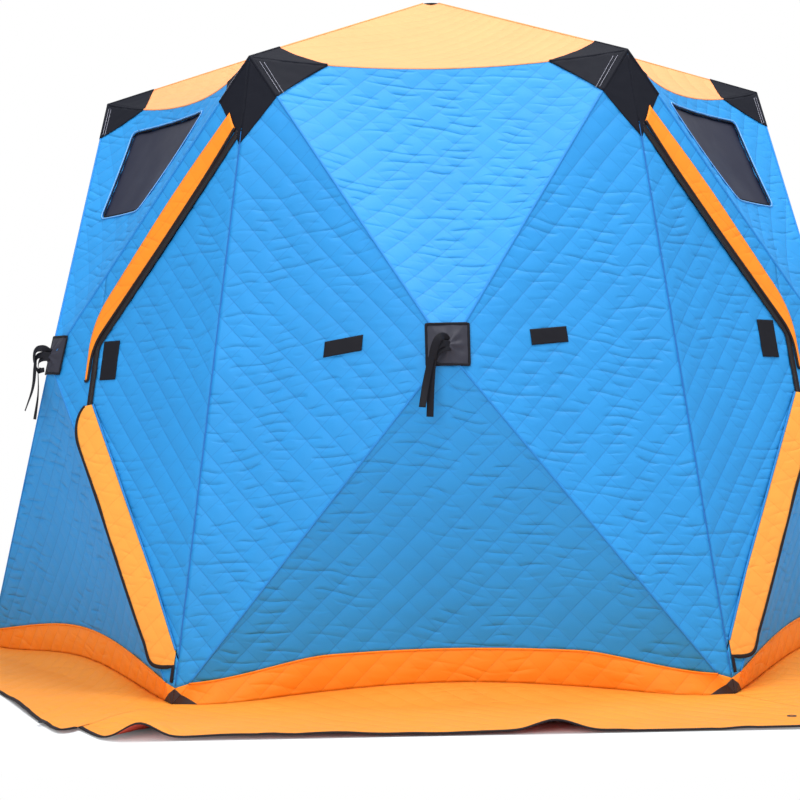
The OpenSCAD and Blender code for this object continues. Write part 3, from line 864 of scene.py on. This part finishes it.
# The free edge and the sewn edge of each flap, and the line of its binding
def lowerFlapEdges():
    start, low = flap["start"], flap["low"]
    corner = points((0.088, 0.011), (0.084, 0.045), (0.088, 0.088)) + [byLowerPole(start, low)]
    free = rounded(corner, 0.03)
    straight = flap["past"] - flap["endLong"]
    for i in range(1, 13):
        free.append(byLowerPole(start + (straight - start) * i / 12, low + flap["rise"] * smooth(i / 12)))
    for i in range(1, 11):
        turn = pi / 2 * i / 10
        along = flap["past"] - flap["endLong"] * (1 - sin(turn))
        free.append(byLowerPole(along, low + flap["rise"] + flap["endWide"] * (1 - cos(turn))))
    sewn = points((0.090, 0.009), (max(lowerX(0.009, 0.064), 0.092), 0.009))
    sewn += [byLowerPole(0.30, 0.073), byLowerPole(flap["past"] - 0.012, flap["sewn"])]
    return free, sewn, points((0.05, 0.0115), (0.07, 0.0115)) + free


# The upper flap follows the upper pole, then turns down past the door's tip
def upperFlapEdges():
    def line(radius, end, *stops):
        return rounded([Vector((upperX(y, inset), y)) for y, inset in stops] + [Vector(end)], radius, 8)

    free = line(0.075, (0.79, 0.436), (0.022, 0.098), (0.090, 0.104), (0.20, 0.105), (0.434, 0.104))
    sewn = line(0.12, (0.79, 0.447), (0.046, 0.052), (0.20, 0.041), (0.33, 0.048), (0.447, 0.056))
    return free, sewn, free + [free[-1].lerp(sewn[-1], i / 4) for i in range(1, 5)]


# A storm flap between its free edge and the edge that is sewn on
def layFlap(bm, free, sewn, hand, seed):
    long = sum((b - a).length for a, b in zip(sewn, sewn[1:]))
    wide = max((a - b).length for a, b in zip(resample(free, 8), resample(sewn, 8)))
    rows, columns = segments(long), max(4, segments(wide))
    one, two = resample(free, rows), resample(sewn, rows)

    def surface(u, w):
        at = w * rows
        i = min(int(at), rows - 1)
        place = one[i].lerp(one[i + 1], at - i).lerp(two[i].lerp(two[i + 1], at - i), u)
        a, b = sideCloth(place.x, place.y)
        edge = min(u, 1 - u) * wide
        wave = 0.0016 * swirl(a * 9, b * 11, seed)
        loft = flap["lift"] + wave * (1 - u) + 0.002 * sin(pi * u) + 0.5 * relief(a, b, edge, seed)
        return sidePoint(place.x, place.y, loft, hand), (a, b, edge)

    layGrid(bm, columns, rows, surface, sideOut(hand))


def makeDoor(side):
    k, hand = doorWalls[side]
    body = side + "_door"
    low, high = door["lower"] + door["ease"], door["upper"] + door["ease"]

    # The top corner by the hinge is cut off a little, so that it clears the corner cap
    def topEnd(y):
        return min(upperX(y, high), door["topCut"] + door["topCutSlope"] * (y - door["edge"]))

    bm = bmesh.new()
    laySide(bm, lambda y: lowerX(y, low), topEnd, door["edge"], door["reach"], hand, -1, door["edgeDip"])
    made = {"leaf": newSheet(body, bm, k, blueCloth, body)}

    # The round bead that the door turns on
    ends = points((lowerX(0, door["lower"]) + 0.002, 0.0004), (upperX(0, door["upper"]) - 0.002, 0.0004))
    bead = (resample(ends, 90), -0.0025, 90, (0.0024, 0.0026), seamBlue, body, "quilted_blue", 10)
    newSideTrim(body + "_hinge_bead", side, *bead)

    flaps = (
        ("lower", lowerFlapEdges(), paleOrange, 21.5, 0.0029, segments(1.05), flap["lowerHalf"], body),
        ("upper", upperFlapEdges(), orangeCloth, 33.1, 0.0032, segments(0.9), flap["half"], "shelter"),
    )
    for part, (free, sewn, outline), cloth, seed, lift, steps, half, rides in flaps:
        name = f"{body}_{part}_flap"
        bm = bmesh.new()
        layFlap(bm, free, sewn, hand, seed)
        piece, area = newSheet(name, bm, k, cloth, rides, back=orangeCloth)
        binding = newSideTrim(name + "_binding", side, outline, lift, steps, half, bindingTape, rides)
        made[part] = (piece, area, binding)
        if part == "lower":
            # A thin turned edge where the flap is sewn to the door
            seam = (sewn[1:], 0.0028, segments(0.9), (0.003, 0.0016), bluePlain, body, "quilted_blue")
            newSideTrim(name + "_seam", side, *seam)
    return made


doorPieces = {side: makeDoor(side) for side in doorWalls}
print("doors ready")


# Zips: two tapes and two coils that part where the door opens
zipper = {
    "middle": 0.0025, "corner": 0.006, "coilAt": 0.0018, "coil": (0.0012, 0.0014), "tapeAt": 0.0022,
    "thick": 0.0007, "door": 0.0022, "wall": 0.0050, "foot": 0.045, "top": 0.012,
}


def zipLine(offset):
    low, high = (door[end] - zipper["middle"] + offset for end in ("lower", "upper"))
    foot, tip, top = zipper["foot"], door["reach"] + zipper["middle"] - offset, zipper["top"]
    lower, upper = [lowerX(foot, low), lowerX(tip, low)], [upperX(tip, high), upperX(top, high)]
    return rounded(points(*zip(lower + upper, (foot, tip, tip, top))), zipper["corner"], 3)


def makeZip(side):
    steps = {"tape": segments(2.1), "coil": 700}
    for body, sign, part in ((side + "_door", 1, "door"), ("shelter", -1, "wall")):
        half = zipper[part]
        for kind, at, lift, section, material, around in (
            ("tape", zipper["tapeAt"] + half, 0.0008, (half, zipper["thick"]), bindingTape, 8),
            ("coil", zipper["coilAt"], 0.0006, zipper["coil"], zipCoil, 6),
        ):
            name, line = f"{side}_zip_{kind}_{part}", zipLine(sign * at)
            newSideTrim(name, side, line, lift, steps[kind], section, material, body, around=around)


for side in doorWalls:
    makeZip(side)
print("zips ready")


# Windows: dark film behind the cloth's edge, with a thin dark binding and a pale piping round it
pane = {"scale": 1.012, "depth": 0.0046, "dent": 0.0016, "thick": 0.0008, "corner": 0.018, "ring": 0.0014}


def makeWindow(side):
    k, hand = doorWalls[side]
    facet = tops[k]
    outline = windowOutline(hand)
    middle = sum(outline, Vector((0, 0))) / 4
    bm = bmesh.new()

    def surface(u, w):
        place = outline[1].lerp(outline[0], u).lerp(outline[2].lerp(outline[3], u), w)
        place = middle + (place - middle) * pane["scale"]
        dent = pane["dent"] * swirl(place.x * 14, place.y * 9, 3.3)
        point, _ = topPoint(facet, place.x, place.y, dent - pane["depth"])
        return point, (place.x, place.y, 0.1)

    layGrid(bm, 44, 30, surface, facet["normal"])
    placeWall(bm, k)
    newPiece(side + "_window_film", bm, film, "shelter", [side + "_window"], pane["thick"])

    start = outline[0].lerp(outline[1], 0.5)
    rings = (
        ("binding", blackCloth, "black_fabric", 0.982, 0.0030, -0.0006),
        ("piping", palePiping, "quilted_blue", 1.02, 0.0014, 0.0010),
    )
    for part, material, slot, scale, half, lift in rings:
        corners = [middle + (place - middle) * scale for place in (start, *outline[1:], outline[0], start)]
        line = resample(rounded(corners, pane["corner"]), segments(1.2))
        path, normals = zip(*(topPoint(facet, place.x, place.y, lift) for place in line))
        newTrim(f"{side}_window_{part}", k, path, normals, (half, pane["ring"]), material)


for side in doorWalls:
    makeWindow(side)
print("windows ready")


# Corner caps: black patches over the pole ends, double stitched
cap = {"seam": 0.225, "pole": 0.138, "edge": 0.19, "rim": 0.0016, "threads": (0.012, 0.021)}
patchLift = 0.0012
capShare = cap["edge"] / hut["topSide"] * 2


# A patch follows the surface that place gives, over the spots that its shares across and along lead to
def layCloth(bm, place, spotAt, outward, seed, columns, rows, crumple=(0.0008, 50)):
    def surface(u, w):
        spot = spotAt(u, w)
        point, normal = place(spot.x, spot.y)
        dent = crumple[0] * swirl(*(point * crumple[1] + Vector((seed, 0, 0))))
        return point + normal * (dent + patchLift), (spot.x, spot.y, 0.1)

    return layGrid(bm, columns, rows, surface, outward, 1e-6)


def layTriangle(bm, place, corners, outward, seed, steps=max(6, segments(0.16))):
    a, b, c = corners
    crumple = (0.0011, 42)
    return layCloth(bm, place, lambda u, w: a.lerp(b, u).lerp(c, w), outward, seed, steps, steps, crumple)


def layPatch(bm, place, corners, outward, seed, columns=24, rows=12):
    a, b, c, d = corners
    return layCloth(bm, place, lambda u, w: a.lerp(b, u).lerp(d.lerp(c, u), w), outward, seed, columns, rows)


def onSide(hand):
    return lambda x, y: (sidePoint(x, y, 0.0, hand), sideOut(hand))


def onFacet(facet):
    return lambda s, v: facetPoint(facet, s, v)


def makeCaps():
    bm = bmesh.new()
    rows = bmesh.new()
    poleShare, roofShare = (cap["pole"] / length for length in (upperLength, (peak - sideTop).length))
    side = points((seamLength - cap["seam"], cap["rim"]), (seamLength - cap["rim"] * 2, cap["rim"] * 0.5))
    side.append(byUpperPole(cap["pole"], 0.0015))
    for k in range(6):
        for hand in (1, -1):
            made = layTriangle(bm, onSide(hand), side, sideOut(hand), 1.0 + k)
            for facet, share, seed in ((tops[k], poleShare, 2.0 + k), (roofTops[k], roofShare, 3.0 + k)):
                corners = points((hand, 0.004), (hand * (1 - capShare), 0.004), (hand, share))
                made += layTriangle(bm, onFacet(facet), corners, facet["normal"], seed)
            placeWall(bm, k, made)
            # Two rows of thread along the pole's fold
            before = set(rows.verts)
            for inset in cap["threads"]:
                along = [0.02 + (poleShare - 0.035) * i / 10 for i in range(11)]
                stitch(rows, *zip(*(facetPoint(tops[k], hand * (1 - inset * 2.6), v, 0.003) for v in along)))
            placeWall(rows, k, [v for v in rows.verts if v not in before])
    newCloth("corner_caps", bm, blackCloth, thick=0.0012)
    newPiece("corner_caps_thread", rows, thread)


makeCaps()
print("caps ready")


def shoulderAt(k, s):
    return tops[k]["edge"](s) - Vector((0.0012, 0, 0.001))


# Welts along the seams: blue over the pole lines, black where a cap wraps them
welt = {"top": 0.0034, "low": 0.0030, "roof": 0.0032, "cap": 0.0045, "hubGap": 0.03, "peakGap": 0.05}


def layWelt(bm, k, start, end, out, half, drop, count=60):
    path = [start.lerp(end, i / count) - out * drop for i in range(count + 1)]
    placeWall(bm, k, sweep(bm, path, out, half, half * 0.75))


def makeWelts():
    blue, black, orange, roofing = (bmesh.new() for _ in range(4))
    shares = [2 * i / 80 - 1 for i in range(81)]
    for k in range(6):
        brow = (tops[k]["normal"] + roofTops[k]["normal"]).normalized()
        for hand in (1, -1):
            for corner, facet, cover, half, drop in (
                (sideTop, tops[k], cap["pole"], welt["top"], 0.0012),
                (sideBottom, bottom, hut["bandCorner"], welt["low"], 0.0014),
            ):
                corner = mirrored(corner, hand)
                out = (sideOut(hand) + facet["normal"]).normalized()
                run = (hub - corner).normalized()
                start = corner + run * cover
                layWelt(blue, k, start, hub - run * welt["hubGap"], out, half, drop)
                if facet is not bottom:
                    layWelt(black, k, corner, start, out, welt["cap"], 0.0008, 16)
            # The seam under the cap's roof side
            path = [shoulderAt(k, hand * (1 - capShare * i / 16)) for i in range(17)]
            placeWall(black, k, sweep(black, path, brow, welt["cap"], 0.0034))
        # The roof seam over this wall, and the pole line of the roof at its corner
        path = [shoulderAt(k, (1 - capShare) * s) for s in shares]
        placeWall(roofing, k, sweep(roofing, path, brow, 0.0030, 0.0024))
        run = (peak - sideTop).normalized()
        capEnd = sideTop + run * cap["pole"]
        layWelt(roofing, k, capEnd, peak - run * welt["peakGap"], upward, welt["roof"], 0.0012)
        layWelt(black, k, sideTop, capEnd, upward, welt["cap"], 0.0008, 16)
        # The seam between the blue panel and the band
        path = [facetPoint(bottom, s, bandShare(s, k), 0.0002)[0] for s in shares]
        placeWall(orange, k, sweep(orange, path, bottom["normal"], 0.0024, 0.0019))
    # The corner seams, left open where a door has its own bead, and black under the caps
    seams = bmesh.new()
    capStart = seamLength - cap["seam"]
    start, end = lowerX(0, door["lower"]) - 0.006, upperX(0, door["upper"]) + 0.006
    out = spun(1, radians(30))
    for k in range(6):
        stop, go = (start, end) if k in (0, 1) else (capStart, capStart)
        spans = ((seams, 0.044, stop, 0.0022), (black, go, seamLength - 0.012, 0.0034))
        for target, low, high, half in spans:
            count = max(3, round((high - low) / 0.012))
            path = [sidePoint(low + (high - low) * i / count, 0.0004, -0.0022) for i in range(count + 1)]
            placeWall(target, k, sweep(target, path, out, half, half + 0.0004))
    newPiece("pole_line_welts", blue, bluePlain)
    newPiece("cap_welts", black, blackCloth)
    newPiece("band_welts", orange, orangeCloth)
    newPiece("roof_welts", roofing, roofCloth)
    newPiece("corner_seam_welts", seams, seamBlue, "shelter", ["corner_seams"])


makeWelts()
print("welts ready")


# Patches: one over each hub, one each side of it, one at each foot of the hut
lean = atan2(baseApothem - topApothem, hut["shoulderZ"])
wallAxis = Vector((cos(lean), 0, sin(lean)))
patchUp = Vector((-sin(lean), 0, cos(lean)))
patchAcross = Vector((0, 1, 0))
hubFaces = [sideOut(1), sideOut(-1), tops[3]["normal"], bottom["normal"]]


def overHub(a, b):
    flat = patchAcross * a + patchUp * b
    return min(-normal.dot(flat) / normal.dot(wallAxis) for normal in hubFaces)


hubPatch = {
    "half": 0.050, "raise": 0.018, "bossDepth": 0.006, "bossFall": 6, "lift": 0.0016, "soft": 0.004,
    "foldHeight": 0.0022, "foldReach": 0.022, "foldWidth": 0.016, "crumple": 0.0012, "pinch": 0.006,
}


def hubPatchPoint(a, b, lift):
    b += hubPatch["raise"]
    boss = -hubPatch["bossDepth"] - hubPatch["bossFall"] * (a * a + b * b)
    drape = overHub(a, b) + hubPatch["lift"]
    soft = hubPatch["soft"]
    height = -soft * log(exp(-boss / soft) + exp(-drape / soft))
    height = max(height, drape) if drape > boss else height
    return hub + patchAcross * a + patchUp * b + wallAxis * (height + lift)


def makeHubPatches():
    bm, rim = bmesh.new(), bmesh.new()
    half = hubPatch["half"]
    inner = half - 0.001
    square = resample(points((0, -1), (1, -1), (1, 1), (-1, 1), (-1, -1), (0, -1)), 120)
    edge = [hubPatchPoint(spot.x * inner, spot.y * inner, 0.0022) for spot in square]
    for k in range(6):
        def surface(u, w):
            a, b = (2 * u - 1) * half, (2 * w - 1) * half
            reach = hypot(a, b + 0.004)
            turn = atan2(b + 0.004, a)
            ring = exp(-(((reach - hubPatch["foldReach"]) / hubPatch["foldWidth"]) ** 2))
            folds = hubPatch["foldHeight"] * sin(7 * turn + k) * ring
            crumple = hubPatch["crumple"] * swirl(a * 55, b * 55, 4.0 + k)
            pinch = hubPatch["pinch"] * exp(-(reach ** 2) / 0.00025)
            return hubPatchPoint(a, b, crumple + folds + pinch + 0.0014), (a, b, 0.1)

        placeWall(bm, k, layGrid(bm, 48, 48, surface, wallAxis))
        placeWall(rim, k, sweep(rim, edge, wallAxis, 0.0032, 0.0016))
    newCloth("hub_patches", bm, patchCloth, thick=0.0012)
    newPiece("hub_patches_binding", rim, webbing)


makeHubPatches()


def makeSidePatches():
    bm = bmesh.new()
    wide, halfLong, y = 0.038, 0.048, apexY - 0.2635
    for k in range(6):
        for hand, shift, tilt in ((1, 0.0065, -0.002), (-1, -0.010, 0.009)):
            if doorHands.get(k) == hand:
                continue
            low, high = apexX + shift - tilt, apexX + shift + tilt
            near, far = y - halfLong, y + halfLong
            corners = points((low, near), (high, far), (high + wide, far), (low + wide, near))
            placeWall(bm, k, layPatch(bm, onSide(hand), corners, sideOut(hand), k + 0.5))
    newCloth("side_patches", bm, webbing)


makeSidePatches()


def makeDoorPatch(side, low, high):
    k, hand = doorWalls[side]
    bm = bmesh.new()
    (x0, y0), (x1, y1) = low, high
    corners = points((x0, y0), (x0, y1), (x1, y1), (x1, y0))
    layPatch(bm, onSide(hand), corners, sideOut(hand), 8.0, 14, 22)
    placeWall(bm, k)
    newCloth(side + "_door_patch", bm, webbing, side + "_door")


makeDoorPatch("left", (0.791, 0.343), (0.891, 0.397))
makeDoorPatch("right", (0.818, 0.316), (0.914, 0.374))


def onBand(k):
    def place(s, w):
        upper, normal = facetPoint(bottom, s, bandShare(s, k))
        return crease(s, k).lerp(upper, w), normal

    return place


def makeFootPatches():
    bm = bmesh.new()
    foot = {"up": 0.036, "out": 0.058, "pole": 0.030}
    side = points((0.001, 0.0006), (foot["up"], 0.0006)) + [byLowerPole(foot["pole"], 0.0)]
    for k in range(6):
        for hand in (1, -1):
            placeWall(bm, k, layTriangle(bm, onSide(hand), side, sideOut(hand), 5.0 + k, 12))
            end = hand * 0.9995
            band = points((end, 0.0), (hand * (1 - foot["out"] / 0.65), 0.02), (end, 0.48))
            placeWall(bm, k, layTriangle(bm, onBand(k), band, bottom["normal"], 5.0 + k, 16))
    newCloth("foot_patches", bm, footCloth)


makeFootPatches()


roofPatch = {"radius": 0.052, "crown": 0.03, "lift": 0.0014}


def makeRoofPatch():
    bm = bmesh.new()
    slope = (peak.z - sideTop.z) / hypot(sideTop.x, sideTop.y)

    def surface(u, w):
        turn = 2 * pi * u
        six = cos(radians(30)) / cos((turn + pi / 6) % (pi / 3) - pi / 6)
        spot = spun(roofPatch["radius"] * w * six, turn)
        spot.z = peak.z - slope * hypot(*spot.xy, roofPatch["crown"]) + roofPatch["lift"]
        return spot, (spot.x, spot.y, 0.1)

    layGrid(bm, 48, 10, surface, upward, 1e-5)
    newCloth("roof_patch", bm, blackCloth, thick=0.0012)


makeRoofPatch()


# Pull straps: two webbing tails and a short fold that come out of the middle of each hub patch
strap = {"thick": 0.0014, "steps": 40, "hang": -0.045}


def makeStraps():
    bm = bmesh.new()
    # Each tail has its twist, its half width and its stops across, up and out from the hub
    tails = (
        (0.25, 0.0082, (
            (0.006, -0.004, 0.002), (-0.010, -0.004, 0.022), (-0.026, -0.012, 0.036),
            (-0.038, -0.036, 0.032), (-0.051, -0.088, 0.026), (-0.062, -0.152, 0.038),
        )),
        (-0.2, 0.0082, (
            (0.006, -0.010, 0.002), (-0.008, -0.014, 0.018), (-0.024, -0.022, 0.026),
            (-0.036, -0.045, 0.022), (-0.041, -0.100, 0.010), (-0.0445, -0.170, 0.008),
        )),
        (0.15, 0.0090, (
            (0.000, 0.006, 0.002), (-0.008, 0.014, 0.024), (-0.022, 0.006, 0.042),
            (-0.034, -0.020, 0.040), (-0.036, -0.046, 0.024), (-0.028, -0.040, 0.006),
        )),
    )
    steps, hang = strap["steps"], strap["hang"]
    for twist, half, stops in tails:
        path, normals = [], []
        for i, spot in enumerate(resample(rounded(points(*stops), 0.03, 5), steps)):
            base = hubPatchPoint(spot.x, max(spot.y, hang), 0.002)
            path.append(base + patchUp * min(0.0, spot.y - hang) + wallAxis * spot.z)
            turn = twist * sin(i / steps * pi * 1.3)
            normals.append((wallAxis * cos(turn) + patchAcross * sin(turn)).normalized())
        for k in range(6):
            placeWall(bm, k, sweep(bm, path, normals, half, strap["thick"] / 2))
    newPiece("pull_straps_webbing", bm, webbing, "shelter", ["pull_straps"])


makeStraps()
print("patches and straps ready")

# Rods, hubs and joints keep their turned shapes and get their finishes
for name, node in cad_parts.items():
    if name.endswith("_poles") or name in ("wall_hubs", "roof_hub", "corner_joints"):
        node.data.materials.clear()
        node.data.materials.append(rodFinish if name.endswith("_poles") else hubPlastic)

# Pale floor and soft studio light
floor = bpy.data.objects.new("floor", bpy.data.meshes.new("floor"))
bm = bmesh.new()
bmesh.ops.create_grid(bm, x_segments=1, y_segments=1, size=30)
bm.to_mesh(floor.data)
bm.free()
scene.collection.objects.link(floor)
floorFinish, tree, shader, place = newMaterial("floorFinish", 0.9, 0.5)
shader.inputs["Base Color"].default_value = (0.88, 0.88, 0.88, 1)
radius = addNode(tree, "VectorMath", {"operation": "LENGTH"}, i0=place).outputs["Value"]
fade = addNode(tree, "MapRange", {"interpolation_type": "SMOOTHSTEP"}, i0=radius, i1=1.5, i2=2.1).outputs[0]
seen = addNode(tree, "LightPath").outputs["Is Camera Ray"]
glow = addNode(tree, "Emission", Color=(1, 1, 1, 1), Strength=1.0).outputs[0]
blend = addNode(tree, "MixShader", i0=calc(tree, "MULTIPLY", fade, seen), i1=shader.outputs[0], i2=glow)
tree.links.new(blend.outputs[0], tree.nodes["Material Output"].inputs["Surface"])
floor.data.materials.append(floorFinish)

world = bpy.data.worlds.new("world")
scene.world = world
world.use_nodes = True
tree = world.node_tree
background = tree.nodes["Background"]
background.inputs["Color"].default_value = (0.93, 0.96, 1.0, 1)
background.inputs["Strength"].default_value = 0.58
white = addNode(tree, "Background", Color=(1, 1, 1, 1), Strength=1.0).outputs[0]
seen = addNode(tree, "LightPath").outputs["Is Camera Ray"]
mix = addNode(tree, "MixShader", i0=seen, i1=background.outputs[0], i2=white)
tree.links.new(mix.outputs[0], tree.nodes["World Output"].inputs["Surface"])

lights = [
    {"name": "sky", "place": (0.4, -1.2, 5.2), "aim": (0, 0, 0.9), "size": 4.0, "power": 262},
    {"name": "front", "place": (-2.4, -6.2, 3.0), "aim": (0, -1, 0.8), "size": 3.0, "power": 130},
    {"name": "right", "place": (4.6, -3.6, 2.6), "aim": (0.4, -0.4, 0.8), "size": 2.6, "power": 30},
]
for lamp in lights:
    data = bpy.data.lights.new(lamp["name"], "AREA")
    data.size = lamp["size"]
    data.energy = lamp["power"]
    light = bpy.data.objects.new(lamp["name"], data)
    light.location = lamp["place"]
    light.rotation_euler = (Vector(lamp["aim"]) - Vector(lamp["place"])).to_track_quat("-Z", "Y").to_euler()
    scene.collection.objects.link(light)

scene.view_settings.view_transform = "Standard"
print("stage ready")
